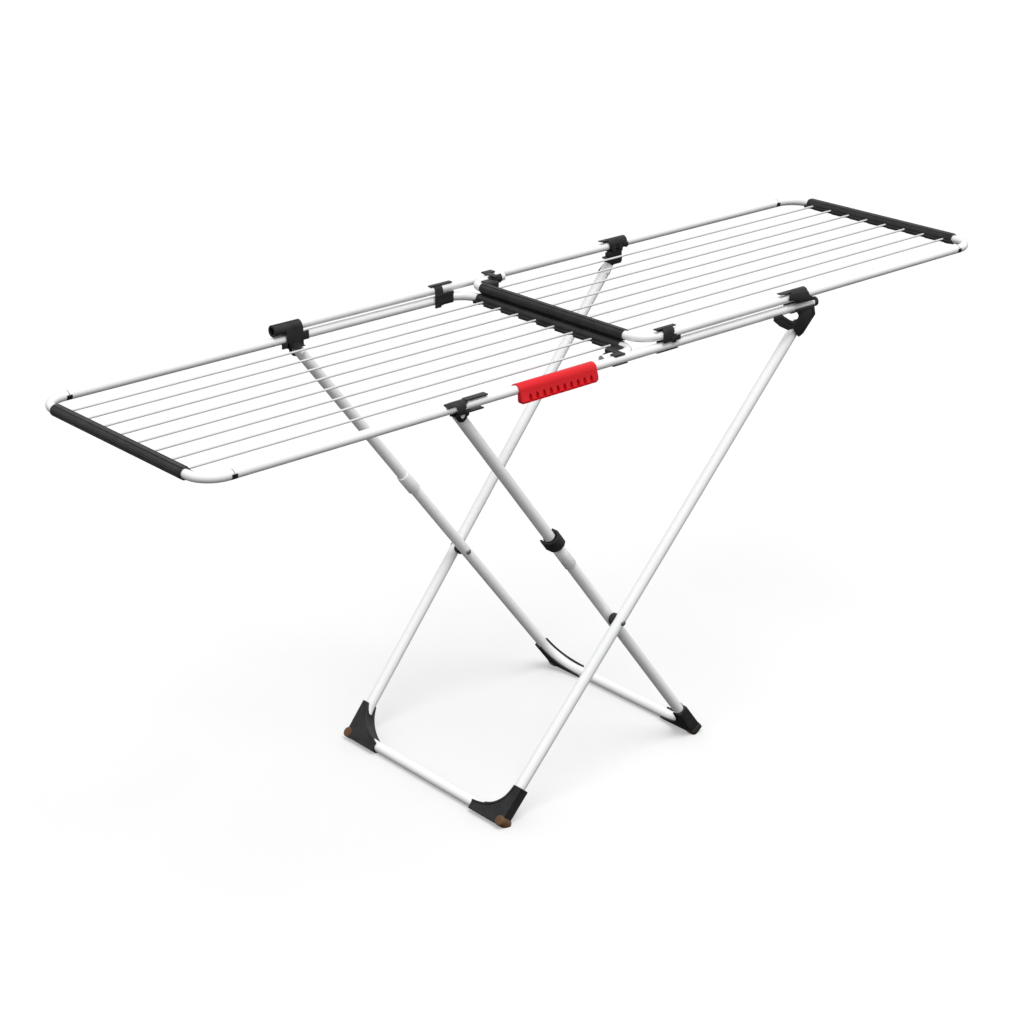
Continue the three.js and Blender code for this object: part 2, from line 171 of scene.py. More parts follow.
def moulded(name, base, lighter, rough, grain=1500, grain_depth=0.00012, wear=0.25, sheen=0.0, gloss=0.3):
    """Moulded plastic: fine spark-eroded grain, slow colour drift, paler rubbed edges."""
    material, tree, shader = principled(name)
    halfway = tuple(0.5 * (a + b) for a, b in zip(base, lighter))
    colour = ramp(tree, noise(tree, 40, 4), [(0.3, base), (0.72, halfway)])
    edge = tree.nodes.new("ShaderNodeMath")
    edge.operation = "MULTIPLY"
    edge.inputs[1].default_value = wear
    tree.links.new(worn_edges(tree), edge.inputs[0])
    tree.links.new(mixed(tree, edge.outputs[0], colour, lighter), shader.inputs["Base Color"])
    drifting_roughness(tree, shader, noise(tree, 140, 3), rough * 0.85, rough * 1.15)
    shader.inputs["Sheen Weight"].default_value = sheen
    shader.inputs["Specular IOR Level"].default_value = gloss
    bumps(tree, shader, [(noise(tree, grain, 2), 0.35, grain_depth), (noise(tree, 120, 2), 0.12, 0.0004)])
    return material


WHITE = painted_tube("frame_white", (0.88, 0.88, 0.875), (0.83, 0.83, 0.825), 0.22, 0.0, 0.5)
SILVER = painted_tube("leg_silver", (0.92, 0.922, 0.926), (0.905, 0.907, 0.911), 0.42, 0.04, 0.12)
WIRE = painted_tube("wire_white", (0.74, 0.74, 0.735), (0.69, 0.69, 0.685), 0.4, 0.05, 0.1)
CHARCOAL = moulded("plastic_charcoal", (0.010, 0.010, 0.0105), (0.045, 0.045, 0.046), 0.42, gloss=0.28)
RED = moulded("handle_red", (0.66, 0.006, 0.012), (0.72, 0.016, 0.024), 0.34, 1200, 0.00006, 0.3, gloss=0.25)
BROWN = moulded("rubber_brown", (0.085, 0.037, 0.012), (0.22, 0.115, 0.05), 0.45, 900, 0.0001, 0.3, 0.1)
BLACK = moulded("ring_black", (0.006, 0.006, 0.006), (0.03, 0.03, 0.03), 0.5)


def clear_plastic():
    material, tree, shader = principled("clear_plastic")
    cloud = noise(tree, 110, 3)
    drifting_colour(tree, shader, cloud, (0.95, 0.955, 0.955), (0.97, 0.975, 0.975))
    drifting_roughness(tree, shader, cloud, 0.22, 0.36)
    shader.inputs["Transmission Weight"].default_value = 0.08
    shader.inputs["IOR"].default_value = 1.49
    bumps(tree, shader, [(noise(tree, 500, 2), 0.08, 0.00005)])
    return material


def rivet_steel():
    material, tree, shader = principled("rivet")
    turned = noise(tree, 700, 3, (1, 6, 1))
    drifting_colour(tree, shader, turned, (0.24, 0.24, 0.25), (0.42, 0.42, 0.43))
    drifting_roughness(tree, shader, noise(tree, 160, 2), 0.28, 0.45)
    shader.inputs["Metallic"].default_value = 0.9
    bumps(tree, shader, [(turned, 0.2, 0.0001)])
    return material


CLEAR = clear_plastic()
STEEL = rivet_steel()


# ---- mesh tools ----------------------------------------------------------------------------------

TUBE_WALL = 0.0008
BORE_DEPTH = 0.012  # how far an open tube end is hollow
SHARP_ANGLE = 38  # edges that turn by more degrees than this are shaded sharp


def ends(node):
    """The two ends of a straight tube's axis, the lower first, or the left one where they are level."""
    co = np.array([v.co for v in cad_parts[node].data.vertices])
    middle = co.mean(0)
    direction = np.linalg.svd(co - middle, full_matrices=False)[2][0]
    t = (co - middle) @ direction
    low = Vector(co[t < t.min() + 0.0002].mean(0))
    high = Vector(co[t > t.max() - 0.0002].mean(0))
    swap = low.z > high.z + 0.01 or (abs(low.z - high.z) <= 0.01 and (low.x, low.y) > (high.x, high.y))
    return (high, low) if swap else (low, high)


def middle_of(node):
    low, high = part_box(node)
    return (low + high) / 2


def at_height(node, z):
    """The point of a leg tube's axis at height z."""
    low, high = ends(node)
    return low.lerp(high, (z - low.z) / (high.z - low.z))


def rounded(corners, radii, steps):
    """The corner points with each inner corner turned into an arc."""
    path = [corners[0].copy()]
    for i in range(1, len(corners) - 1):
        into = (corners[i] - corners[i - 1]).normalized()
        out = (corners[i + 1] - corners[i]).normalized()
        turn = into.angle(out)
        radius = radii[i - 1]
        side = (out - into * math.cos(turn)).normalized()
        start = corners[i] - into * radius * math.tan(turn / 2)
        for k in range(steps + 1):
            angle = turn * k / steps
            path.append(start + into * radius * math.sin(angle) + side * radius * (1 - math.cos(angle)))
    path.append(corners[-1].copy())
    return path


def side_of(direction):
    """Any unit vector across a direction."""
    other = Z if abs(direction.normalized().z) < 0.9 else X
    return direction.cross(other).normalized()


def circle(centre, n, b, r, sides):
    """Points round a centre, in the plane of n and b."""
    points = []
    for k in range(sides):
        a = 2 * math.pi * k / sides
        points.append(centre + n * (r * math.cos(a)) + b * (r * math.sin(a)))
    return points


def both_ends(profile, length):
    """A lathe profile that starts as given and ends the same way, over a length."""
    return profile + [(length - t, r) for t, r in profile[::-1]]


class Shape:
    """Closed shells gathered into one mesh."""

    def __init__(self):
        self.bm = bmesh.new()

    def take(self, part):
        mesh = bpy.data.meshes.new("shell")
        part.to_mesh(mesh)
        part.free()
        self.bm.from_mesh(mesh)
        bpy.data.meshes.remove(mesh)
        return self

    def loops(self, rings, closed_ends=True):
        """Skins a list of rings of points."""
        part = bmesh.new()
        made = [[part.verts.new(p) for p in ring] for ring in rings]
        count = len(made[0])
        for a, b in zip(made, made[1:]):
            for i in range(count):
                j = (i + 1) % count
                part.faces.new((a[i], a[j], b[j], b[i]))
        if closed_ends:
            part.faces.new(list(reversed(made[0])))
            part.faces.new(made[-1])
        bmesh.ops.remove_doubles(part, verts=part.verts, dist=1e-7)
        bmesh.ops.recalc_face_normals(part, faces=part.faces)
        return self.take(part)

    def tube(self, path, radius, sides=32, open_ends=True):
        """A tube along a path. An open end shows the wall and a stretch of the bore."""
        tangents = []
        for i, point in enumerate(path):
            into = (point - path[max(i - 1, 0)]).normalized() if i else None
            out = (path[min(i + 1, len(path) - 1)] - point).normalized() if i < len(path) - 1 else None
            tangents.append(((into or out) + (out or into)).normalized())
        places = []
        normal = side_of(tangents[0])
        for i, (point, tangent) in enumerate(zip(path, tangents)):
            if i:
                normal = (normal - tangent * normal.dot(tangent)).normalized()
            places.append((point, normal.copy(), tangent.cross(normal), tangent))

        def ring(place, r, shift=0.0):
            point, n, b, t = place
            return circle(point + t * shift, n, b, r, sides)

        lip = min(0.0002, radius * 0.2)
        bore = radius - TUBE_WALL
        first = places[0]
        last = places[-1]
        whole = []
        if open_ends:
            whole += [ring(first, bore, BORE_DEPTH), ring(first, bore, lip), ring(first, bore + lip)]
        whole += [ring(first, radius - lip), ring(first, radius, lip)]
        whole += [ring(place, radius) for place in places[1:-1]]
        whole += [ring(last, radius, -lip), ring(last, radius - lip)]
        if open_ends:
            whole += [ring(last, bore + lip), ring(last, bore, -lip), ring(last, bore, -BORE_DEPTH)]
        return self.loops(whole)

    def lathe(self, start, direction, profile, sides=32, hollow=False):
        """Turns (distance along, radius) pairs about an axis. A hollow profile closes on itself."""
        direction = direction.normalized()
        n = side_of(direction)
        b = direction.cross(n)
        stops = profile + profile[:1] if hollow else profile
        rings = [circle(start + direction * t, n, b, r, sides) for t, r in stops]
        return self.loops(rings, not hollow)

    def prism(self, outline, e1, e2, t0, t1, origin=Vector((0, 0, 0)), bevel=0.0006, segments=2):
        """A flat outline in the plane of e1 and e2, thick from t0 to t1 along their cross product."""
        e3 = e1.cross(e2)
        part = bmesh.new()
        low = [part.verts.new(origin + e1 * a + e2 * b + e3 * t0) for a, b in outline]
        high = [part.verts.new(origin + e1 * a + e2 * b + e3 * t1) for a, b in outline]
        count = len(outline)
        part.faces.new(low)
        part.faces.new(high)
        for i in range(count):
            j = (i + 1) % count
            part.faces.new((low[i], low[j], high[j], high[i]))
        bmesh.ops.recalc_face_normals(part, faces=part.faces)
        if bevel:
            sharp = [e for e in part.edges if len(e.link_faces) == 2 and e.calc_face_angle(0) > 0.6]
            bmesh.ops.bevel(
                part,
                geom=sharp,
                offset=bevel,
                segments=segments,
                profile=0.6,
                affect="EDGES",
                clamp_overlap=True,
            )
        return self.take(part)

    def box(self, low, high, bevel=0.0006, segments=2):
        outline = [(low[0], low[1]), (high[0], low[1]), (high[0], high[1]), (low[0], high[1])]
        return self.prism(outline, X, Y, low[2], high[2], bevel=bevel, segments=segments)

    def object(self, name):
        mesh = bpy.data.meshes.new(name)
        self.bm.to_mesh(mesh)
        self.bm.free()
        made = bpy.data.objects.new(name, mesh)
        bpy.context.scene.collection.objects.link(made)
        return made


def applied(obj):
    """Makes the object's modifiers real."""
    graph = bpy.context.evaluated_depsgraph_get()
    mesh = bpy.data.meshes.new_from_object(obj.evaluated_get(graph))
    old = obj.data
    obj.modifiers.clear()
    obj.data = mesh
    bpy.data.meshes.remove(old)


def carve(obj, *cutters, operation="DIFFERENCE"):
    """Cuts each shape out of obj, or joins or crosses it with obj; the shapes are used up."""
    for shape in cutters:
        cutter = shape.object("cutter")
        modifier = obj.modifiers.new("carve", "BOOLEAN")
        modifier.operation = operation
        modifier.solver = "EXACT"
        modifier.use_self = True
        modifier.object = cutter
        applied(obj)
        bpy.data.objects.remove(cutter)


def soften(obj, width, segments, angle):
    """Rounds the edges that turn by more than an angle in degrees."""
    modifier = obj.modifiers.new("edges", "BEVEL")
    modifier.width = width
    modifier.segments = segments
    modifier.limit_method = "ANGLE"
    modifier.angle_limit = math.radians(angle)
    applied(obj)


def piece(obj, body, material, slot, *nodes):
    """Shades the piece, gives it its material, and hands it to its body in place of its CAD nodes."""
    mesh = obj.data
    mesh.materials.clear()
    mesh.materials.append(material)
    for polygon in mesh.polygons:
        polygon.use_smooth = True
        polygon.material_index = 0
    mesh.set_sharp_from_angle(angle=math.radians(SHARP_ANGLE))
    if nodes:
        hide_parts(*nodes)
    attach(obj, body)


def plastic(shape_or_object, name, body, *nodes, material=CHARCOAL, slot="plastic_charcoal"):
    obj = shape_or_object
    if isinstance(obj, Shape):
        obj = obj.object(name)
    obj.name = name
    piece(obj, body, material, slot, *nodes)


# ---- places taken from the CAD frame ---------------------------------------------------------------

RAIL_R = 8 * MM
LEG_R = 10 * MM
A_RAIL = ends("frame_a_long_rail")  # left end, right end
B_RAIL = ends("frame_b_long_rail")
A_Z = A_RAIL[0].z
B_Z = B_RAIL[0].z
RAIL_Y = abs(A_RAIL[0].y)
END_X = abs(middle_of("frame_a_end_cover").x)
CENTRE_X = abs(middle_of("frame_a_centre_cover").x)
HOOK_Y = abs(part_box("frame_a_centre_bow")[0].y) - RAIL_R
HOOK_X = abs(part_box("frame_a_centre_bow")[0].x)
RAIL_END_X = A_RAIL[1].x
CORNER_R = 45 * MM
HOOK_R = 30 * MM
WIRE_R = 1.9 * MM
WIRE_Y = [middle_of(f"frame_a_wire_{i + 1}").y for i in range(8)]
RING_X = 849 * MM  # where the end bow is sleeved onto the rails
OUTER_PIVOT = 785  # heights of the hinges on the legs, in millimetres
INNER_PIVOT = 800
GRIP_R = 8.3 * MM  # inside of the parts that grip a rail
SLIDE_R = 8.7 * MM  # inside of the slider that runs along frame A's rail
HOOD_R = 8.5 * MM  # inside of the hoods over frame B's rail
HOOD_Z = B_Z + 4.5 * MM  # higher than the rail, because frame B rises while the rack folds


# ---- drying frames -------------------------------------------------------------------------------


def frame_point(turn, x, y):
    return Vector((turn * x, turn * y, A_Z if turn > 0 else B_Z))


def arc(cx, cy, radius, start, stop, steps):
    """Points of an arc round (cx, cy), from angle start to stop in degrees."""
    points = []
    for k in range(steps + 1):
        a = math.radians(start + (stop - start) * k / steps)
        points.append((cx + radius * math.cos(a), cy + radius * math.sin(a)))
    return points


def arch(cx, cy, radius, thick, start, stop, steps=16):
    """A C-shaped section round (cx, cy), from angle start to stop in degrees."""
    outer = arc(cx, cy, radius + thick, start, stop, steps)
    return outer + arc(cx, cy, radius, start, stop, steps)[::-1]


def along_x(shape, section, x0, x1, bevel=0.0005):
    """A section given in (y, z), from x0 to x1."""
    return shape.prism(section, Y, Z, x0, x1, bevel=bevel)


def cover(prefix, turn, x, toward, radius, y0, y1, nodes):
    """The sleeve over a bar, with a notched lip that the wires sit in. toward is the wires' side."""
    z = A_Z if turn > 0 else B_Z
    lo, hi = sorted((turn * y0, turn * y1))
    face = turn * toward
    centre = Vector((turn * x, 0, z))
    shape = Shape()
    # body: ring section with a flat on top where the mould parts
    bore = 8.4 * MM
    section = []
    inner = []
    for k in range(40):
        a = 2 * math.pi * k / 40
        r = radius - (0.35 * MM if 60 < math.degrees(a) < 120 else 0)
        section.append((r * math.cos(a), r * math.sin(a)))
        inner.append((bore * math.cos(a), bore * math.sin(a)))
    flared = [(p * 1.03, q * 1.03) for p, q in inner]

    def ring(points, y):
        return [centre + Vector((p * face, y, q)) for p, q in points]

    lip = 0.4 * MM
    shrunk = [(p * (1 - lip / radius), q * (1 - lip / radius)) for p, q in section]
    shape.loops(
        [
            ring(inner, lo + 14 * MM),
            ring(inner, lo + lip),
            ring(flared, lo),
            ring(shrunk, lo),
            ring(section, lo + lip),
            ring(section, hi - lip),
            ring(shrunk, hi),
            ring(flared, hi),
            ring(inner, hi - lip),
            ring(inner, hi - 14 * MM),
        ]
    )
    # ribs along the sleeve, at these angles from the wires' side
    near = lo + 1 * MM
    far = hi - 1 * MM
    proud = radius + 0.9 * MM
    rib = [(radius - 1.2 * MM, -0.9 * MM), (proud, -0.6 * MM)]
    rib += [(proud, 0.6 * MM), (radius - 1.2 * MM, 0.9 * MM)]
    for degrees in (58, 112, 152, 196):
        a = math.radians(degrees)
        radial = Vector((face * math.cos(a), 0, math.sin(a)))
        shape.prism(rib, radial, radial.cross(Y), *sorted((-near, -far)), origin=centre, bevel=0.3 * MM)
    # notched lip: tabs between the wires
    edges = sorted(turn * y for y in WIRE_Y)
    notch = 5 * MM
    spans = [(lo - 3 * MM, edges[0] - notch)]
    spans += [(a + notch, b - notch) for a, b in zip(edges, edges[1:])]
    spans += [(edges[-1] + notch, hi + 3 * MM)]
    root = radius - 2.5 * MM
    tip = radius + 6.3 * MM
    corner = 2.6 * MM
    wires_way = Vector((face, 0, 0))
    height = sorted((face * -6.4 * MM, face * -0.6 * MM))
    for a, b in spans:
        outline = [(root, a), (tip - corner, a), (tip, a + corner)]
        outline += [(tip, b - corner), (tip - corner, b), (root, b)]
        shape.prism(outline, wires_way, Y, *height, origin=centre, bevel=1.1 * MM, segments=3)
    # strip that joins the tabs
    strip = [(radius - 3 * MM, near), (proud, near), (proud, far), (radius - 3 * MM, far)]
    height = sorted((face * -3.4 * MM, face * 2.6 * MM))
    shape.prism(strip, wires_way, Y, *height, origin=centre, bevel=0.4 * MM)
    plastic(shape, f"{prefix}_{nodes}_piece", prefix, f"{prefix}_{nodes}")


def drying_frame(prefix, turn):
    corners = [
        frame_point(turn, RAIL_END_X, -RAIL_Y),
        frame_point(turn, -END_X, -RAIL_Y),
        frame_point(turn, -END_X, RAIL_Y),
        frame_point(turn, -CENTRE_X, RAIL_Y),
        frame_point(turn, -CENTRE_X, -HOOK_Y),
        frame_point(turn, -HOOK_X, -HOOK_Y),
    ]
    path = rounded(corners, [CORNER_R, CORNER_R, CORNER_R, HOOK_R], 16)
    tube = Shape().tube(path, RAIL_R, 40).object(f"{prefix}_tube")
    piece(
        tube,
        prefix,
        WHITE,
        "frame_white",
        f"{prefix}_long_rail",
        f"{prefix}_end_bow",
        f"{prefix}_short_rail",
        f"{prefix}_centre_bow",
    )
    ends_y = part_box(f"{prefix}_end_cover")
    centre_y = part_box(f"{prefix}_centre_cover")
    cover(prefix, turn, -END_X, 1, 10.5 * MM, turn * ends_y[0].y, turn * ends_y[1].y, "end_cover")
    hook_side = turn * (centre_y[0].y if turn > 0 else centre_y[1].y) - 9 * MM
    corner_side = turn * (centre_y[1].y if turn > 0 else centre_y[0].y)
    cover(prefix, turn, -CENTRE_X, -1, 9.7 * MM, hook_side, corner_side, "centre_cover")
    for i in range(8):
        low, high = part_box(f"{prefix}_wire_{i + 1}")
        y = (low.y + high.y) / 2
        z = (low.z + high.z) / 2
        start = Vector((low.x - 1.5 * MM, y, z))
        end = Vector((high.x + 1.5 * MM, y, z))
        points = [start.lerp(end, k / 24) for k in range(25)]
        wire = Shape().tube(points, WIRE_R, 16, open_ends=False).object(f"{prefix}_wire_{i + 1}_piece")
        piece(wire, prefix, WIRE, "wire_white", f"{prefix}_wire_{i + 1}")
    # thin black rings with a button, where the end bow is sleeved onto the rails
    for k, y in enumerate((-RAIL_Y, RAIL_Y)):
        at = frame_point(turn, -RING_X, y)
        ring = Shape().lathe(
            at + Vector((-turn * 0.6 * MM, 0, 0)),
            Vector((turn, 0, 0)),
            [(0, 8.02 * MM), (0.2 * MM, 8.15 * MM), (1.0 * MM, 8.15 * MM), (1.2 * MM, 8.02 * MM)],
        )
        # square button on the front side
        button = arch(at.y, at.z, 7.9 * MM, 0.55 * MM, 162, 232)
        along_x(ring, button, at.x - 5.2 * MM, at.x + 5.2 * MM, 0.15 * MM)
        plastic(ring, f"{prefix}_ring_{k + 1}", prefix, material=BLACK)


drying_frame("frame_a", 1)
drying_frame("frame_b", -1)


# ---- brackets and clips on the rails ---------------------------------------------------------------


def bracket(prefix, turn):
    """Block round the hooked end, and the saddle that joins it to the long rail."""
    z = A_Z if turn > 0 else B_Z
    rail = turn * -RAIL_Y
    face = 0 if turn > 0 else 180

    def block(x0, x1, y0, y1, z0, z1, bevel):
        xs = sorted((-turn * x0 * MM, -turn * x1 * MM))
        ys = sorted((-turn * y0 * MM, -turn * y1 * MM))
        shape.box((xs[0], ys[0], z + z0 * MM), (xs[1], ys[1], z + z1 * MM), bevel * MM)

    def along(section, x0, x1):
        along_x(shape, section, *sorted((-turn * x0 * MM, -turn * x1 * MM)))

    shape = Shape()
    over_rail = sorted((face + turn * -112, face + turn * -50))
    along(arch(rail, z, GRIP_R, 1.9 * MM, *over_rail), 37, 70)
    over_hook = sorted((face + turn * -110, face + turn * 60))
    along(arch(turn * -HOOK_Y, z, GRIP_R, 1.9 * MM, *over_hook), 38, 70)
    block(10, 42, 189, 214, -6.5, 4.5, 1.2)
    block(16, 36, 193, 212, 3.5, 5.6, 0.8)
    block(45, 69, 231, 245, 7.4, 10.6, 1.2)
    block(44, 56, 205, 234, 7.8, 10.2, 1)
    plastic(shape, f"{prefix}_bracket_piece", prefix, f"{prefix}_bracket")


bracket("frame_a", 1)
bracket("frame_b", -1)


def wall(shape, x0, x1, y0, y1, z0, z1, bevel=0.7):
    """A block given in millimetres."""
    shape.box((x0 * MM, y0 * MM, z0 * MM), (x1 * MM, y1 * MM, z1 * MM), bevel * MM)


def clip_a():
    """Hooks under frame A's rail from inside, and reaches over frame B's rail."""
    y = -RAIL_Y
    shape = Shape()
    along_x(shape, arch(y, A_Z, GRIP_R, 1.9 * MM, -112, 24), 34 * MM, 84 * MM)
    along_x(shape, arch(y, HOOD_Z, HOOD_R, 1.8 * MM, -4, 184, 22), 44 * MM, 68 * MM)
    wall(shape, 44, 68, -230.5, -228.6, 818, 847)
    wall(shape, 42, 67, -249.4, -247.6, 829.4, 848)
    wall(shape, 29, 77, -243.5, -235, 853.6, 855.8)
    wall(shape, 60, 82, -250.6, -247.8, 829.2, 838.5, 1.2)
    wall(shape, 64, 72, -250.2, -247.8, 826, 842, 1)
    plastic(shape, "frame_a_clip_piece", "frame_a", "frame_a_clip")


def clip_b():
    """Sits on frame B's rail, and keeps frame A's short rail beside it."""
    shape = Shape()
    along_x(shape, arch(RAIL_Y, B_Z, GRIP_R, 1.8 * MM, 60, 205, 18), -78 * MM, -60 * MM)
    wall(shape, -85, -34, 233.5, 243, 849.2, 851.6, 0.8)
    wall(shape, -78, -60, 227.8, 230, 812, 842)
    wall(shape, -79, -36, 227.6, 230.2, 813, 836, 1)
    wall(shape, -79, -36, 226.4, 228.4, 829.5, 835.5, 0.8)
    wall(shape, -72, -44, 226.4, 228.4, 816, 822, 0.8)
    wall(shape, -80, -66, 226.8, 229.2, 809.5, 817, 0.8)
    plastic(shape, "frame_b_clip_piece", "frame_b", "frame_b_clip")


clip_a()
clip_b()


# ---- legs ----------------------------------------------------------------------------------------


LEG_BEND_R = 65 * MM
LEG_BEND_STEPS = 18
FOOT_T = 12.2 * MM  # about half the thickness of a foot


def leg_path(prefix):
    """The whole U: front top, front corner, back corner, back top."""
    front = ends(f"{prefix}_leg_front")
    back = ends(f"{prefix}_leg_back")
    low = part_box(f"{prefix}_floor_bar")[0]
    floor_z = low.z + LEG_R

    def corner(pair):
        top, bottom = pair[1], pair[0]
        return top.lerp(bottom, (top.z - floor_z) / (top.z - bottom.z))

    return [front[1], corner(front), corner(back), back[1]]


def leg_axes(prefix):
    """The U, the direction up the leg and the normal of its plane, and the leg's splay in y."""
    path = leg_path(prefix)
    along = (path[0] - path[1]).copy()
    splay = along.y / math.hypot(along.x, along.z)
    along.y = 0
    along.normalize()
    return path, along, along.cross(Y), splay


def leg_bend(path):
    return rounded(path, [LEG_BEND_R, LEG_BEND_R], LEG_BEND_STEPS)


def legs(prefix, body):
    tube = Shape().tube(leg_bend(leg_path(prefix)), LEG_R, 40).object(f"{prefix}_leg_tube")
    piece(
        tube,
        body,
        SILVER,
        "leg_silver",
        f"{prefix}_leg_front",
        f"{prefix}_leg_back",
        f"{prefix}_floor_bar",
    )


legs("outer", "outer_legs")
legs("inner", "inner_legs")


def bowed(a, b, c, t):
    """The value at t on the curve from a to c that b pulls on."""
    return a * (1 - t) ** 2 + 2 * b * t * (1 - t) + c * t * t


def foot(prefix, body, side, web=0.0):
    """Corner shell round the bend, with the rubber plug through its corner."""
    path, along, normal, splay = leg_axes(prefix)
    end = "front" if side < 0 else "back"
    corner = path[1] if side < 0 else path[2]
    cy = abs(corner.y)
    splay = abs(splay)
    origin = Vector((corner.x, 0, corner.z))
    out = 13 * MM
    arm_leg = 64 * MM
    arm_bar = 74 * MM
    plug_out = (8 if prefix == "outer" else 4) * MM
    plug_r = (9.8 if prefix == "outer" else 8.7) * MM
    centre = origin - along * 4 * MM + Y * side * (cy + plug_out)

    def leg_y(u, inward):
        return cy + splay * u - inward

    def plate(points, half, bevel, segments=2):
        """A prism of (along the leg, outward distance from the middle plane) points."""
        flat = [(u, side * v) for u, v in points]
        if side < 0:
            flat = flat[::-1]
        return Shape().prism(flat, along, Y, -half, half, origin, bevel, segments)

    # hollow edge towards the inside of the U; web moves it further in
    inner = []
    for k in range(15):
        t = k / 14
        u = bowed(arm_leg, 8 * MM, 4 * MM, t) + 2 * web * t * (1 - t)
        v = bowed(leg_y(arm_leg, 4 * MM), leg_y(20 * MM, 7 * MM + web), cy - arm_bar, t)
        inner.append((u, v))
    outline = [(-out, cy - arm_bar), (-out, cy - 8 * MM)]
    outline += [(-out + 0.4 * MM, cy + 3 * MM), (-out + 3 * MM, cy + 8.6 * MM)]
    outline += [(-out + 8 * MM, cy + out - 0.8 * MM), (0, cy + out), (arm_leg, leg_y(arm_leg, -out))]
    shell = plate(outline + inner, FOOT_T - 0.7 * MM, 2.2 * MM, 4)
    # raised rim along the hollow edge of both faces
    for face in (-1, 1):
        lift = normal * face * (FOOT_T - 0.9 * MM)
        rim = [origin + along * (u - 0.8 * MM) + Y * side * (v + 0.8 * MM) + lift for u, v in inner]
        shell.tube(rim, 2.1 * MM, 12, open_ends=False)
    obj = shell.object(f"{prefix}_foot_{end}_piece")
    bend = leg_bend(path)
    if prefix == "outer":
        # closed channel round the bend
        held = [p for p in bend if side * p.y > cy - 50 * MM and (p - origin).dot(along) < 44 * MM]
        carve(obj, Shape().tube(held, LEG_R + 1.7 * MM, open_ends=False), operation="UNION")
    else:
        # disc round the plug
        disc = both_ends([(0, 10 * MM), (0.5 * MM, 10.9 * MM), (1.4 * MM, 11.4 * MM)], 2 * FOOT_T)
        carve(obj, Shape().lathe(centre - normal * FOOT_T, normal, disc, 40), operation="UNION")
        # slot that opens the channel towards the inside of the U
        slot = [(arm_leg + 8 * MM, leg_y(arm_leg, 1 * MM)), (arm_leg + 8 * MM, leg_y(arm_leg, 40 * MM))]
        slot += [(30 * MM, cy - arm_bar - 8 * MM), (1 * MM, cy - arm_bar - 8 * MM)]
        for k in range(15):
            t = k / 14
            v = bowed(cy - arm_bar, cy - 4 * MM, leg_y(arm_leg, 1 * MM), t)
            slot.append((bowed(1 * MM, 1 * MM, arm_leg, t), v))
        carve(obj, plate(slot, 9.7 * MM, 0))
    tunnel = Shape().tube(bend, LEG_R + 0.35 * MM, open_ends=False)
    below = Shape().box((origin.x - 0.2, -0.4, -0.1), (origin.x + 0.2, 0.4, 0.5 * MM), 0)
    socket_r = plug_r + 0.3 * MM
    socket = Shape().lathe(centre - normal * 30 * MM, normal, [(0, socket_r), (60 * MM, socket_r)], 40)
    carve(obj, tunnel, below, socket)
    plastic(obj, f"{prefix}_foot_{end}_piece", body, f"{prefix}_foot_{end}")
    half = FOOT_T + 1.4 * MM
    # (distance from the plug's end, how much narrower it is there)
    rounding = [(0, 4.8 * MM), (0.4 * MM, 2.2 * MM), (1.2 * MM, 0.4 * MM), (2.2 * MM, 0)]
    profile = both_ends([(t, plug_r - r) for t, r in rounding], 2 * half)
    pad = f"{prefix}_pad_{end}"
    plug = Shape().lathe(centre - normal * half, normal, profile, 40).object(f"{pad}_piece")
    carve(plug, Shape().box((origin.x - 0.2, -0.4, -0.1), (origin.x + 0.2, 0.4, 0), 0))
    plastic(plug, f"{pad}_piece", body, pad, material=BROWN, slot="rubber_brown")


for side in (-1, 1):
    foot("outer", "outer_legs", side, 12 * MM if side > 0 else 0)
    foot("inner", "inner_legs", side)


def crossing(side):
    """The rivet through both legs, and the dark saddle between them."""
    end = "front" if side < 0 else "back"
    low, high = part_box(f"cross_rivet_{end}")
    mid = (low + high) / 2
    outer = at_height(f"outer_leg_{end}", mid.z)
    inner = at_height(f"inner_leg_{end}", mid.z)
    outward = Y * side
    start = Vector((mid.x, low.y if side < 0 else high.y, mid.z))
    head = [(0, 1.6 * MM), (0.4 * MM, 3.4 * MM), (1.2 * MM, 4.8 * MM)]
    head += [(2.1 * MM, 5.4 * MM), (2.2 * MM, 3 * MM)]
    rivet = Shape().lathe(start, -outward, both_ends(head, high.y - low.y))
    obj = rivet.object(f"cross_rivet_{end}_piece")
    piece(obj, "outer_legs", STEEL, "rivet", f"cross_rivet_{end}")
    # the saddle is fixed on the outer leg, hollowed for it and cut flat beside the inner one
    gap_from = outer.y - side * (LEG_R - 3.2 * MM)
    gap_to = inner.y + side * (LEG_R - 3.2 * MM)
    saddle = Shape().lathe(
        Vector((mid.x, gap_from, mid.z)),
        -outward,
        both_ends([(0, 10.8 * MM), (0.4 * MM, 11.4 * MM)], abs(gap_to - gap_from)),
        40,
    ).object(f"cross_saddle_{end}")
    cut_outer = Shape().tube(ends(f"outer_leg_{end}"), LEG_R + 0.25 * MM, 40, open_ends=False)
    flat = Vector((mid.x, inner.y + side * (LEG_R + 0.7 * MM), mid.z))
    cut_inner = Shape().lathe(flat, -outward, [(0, 14 * MM), (10 * MM, 14 * MM)], 40)
    cut_pin = Shape().lathe(start + outward * 2 * MM, -outward, [(0, 3.1 * MM), (60 * MM, 3.1 * MM)], 24)
    carve(saddle, cut_outer, cut_inner, cut_pin)
    plastic(saddle, f"cross_saddle_{end}", "outer_legs")


crossing(-1)
crossing(1)


COLLAR = [
    (17, -8), (17, 6), (13, 15), (5, 19.5), (-5, 19), (-12, 14), (-15.5, 6), (-15.5, -9), (-13, -13.5),
    (-10.5, -11), (-11.5, 5), (-9, 11), (-3, 15), (4, 15.5), (9.5, 12), (13, 5), (13.2, -7),
]


